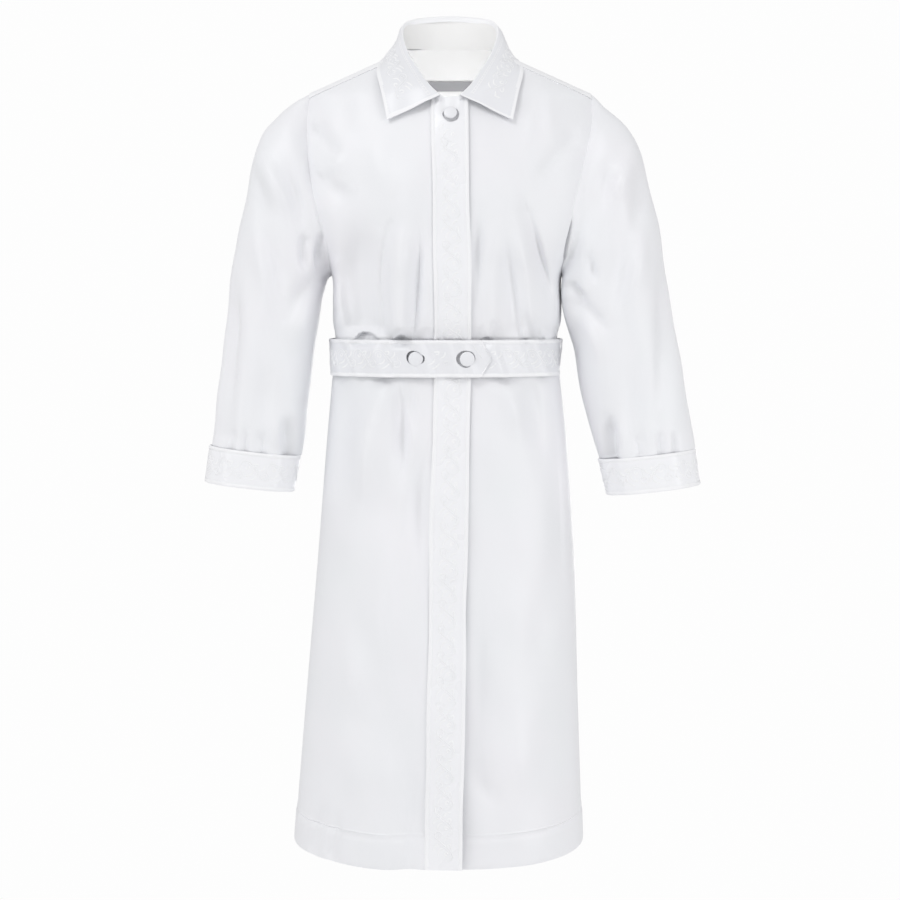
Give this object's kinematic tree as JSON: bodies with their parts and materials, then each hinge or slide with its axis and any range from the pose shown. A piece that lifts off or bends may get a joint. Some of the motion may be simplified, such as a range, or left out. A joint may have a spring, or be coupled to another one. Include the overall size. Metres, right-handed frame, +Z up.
{
  "type": "kittel",
  "caption": "White knee-length robe worn hollow, with a pointed fold-down collar, embroidered front band and cuffs, covered buttons and a lapped belt.",
  "frame": {"origin": "the middle of the neck base at shoulder height, where the wearer's shoulders and neck hold the garment up", "axes": "+Z up, the wearer's front faces -Y, the wearer's left is +X"},
  "size_m": [0.7245, 0.3215, 1.2331],
  "materials": {
    "cloth": "smooth white cotton blend, closely woven, faintly cool, with a soft sheen",
    "embroidered_band": "the same white cloth, stiffened, with tone-on-tone scroll embroidery and stitched edges",
    "covered_button": "domed buttons covered in plain white satin",
    "grey_tape": "plain woven grey tape"
  },
  "bodies": {
    "root": {"front_right": "cloth", "front_left": "cloth", "back_skirt_right": "cloth", "back_skirt_left": "cloth", "back_bodice_right": "cloth", "back_bodice_left": "cloth", "sleeve_right": "cloth", "sleeve_left": "cloth", "collar_stand": "cloth", "placket": "embroidered_band", "cuff_right": "embroidered_band", "cuff_left": "embroidered_band", "collar_leaf": "embroidered_band", "belt": "embroidered_band", "button_neck": "covered_button", "button_belt_a": "covered_button", "button_belt_b": "covered_button", "neck_label": "grey_tape"}
  },
  "joints": []
}
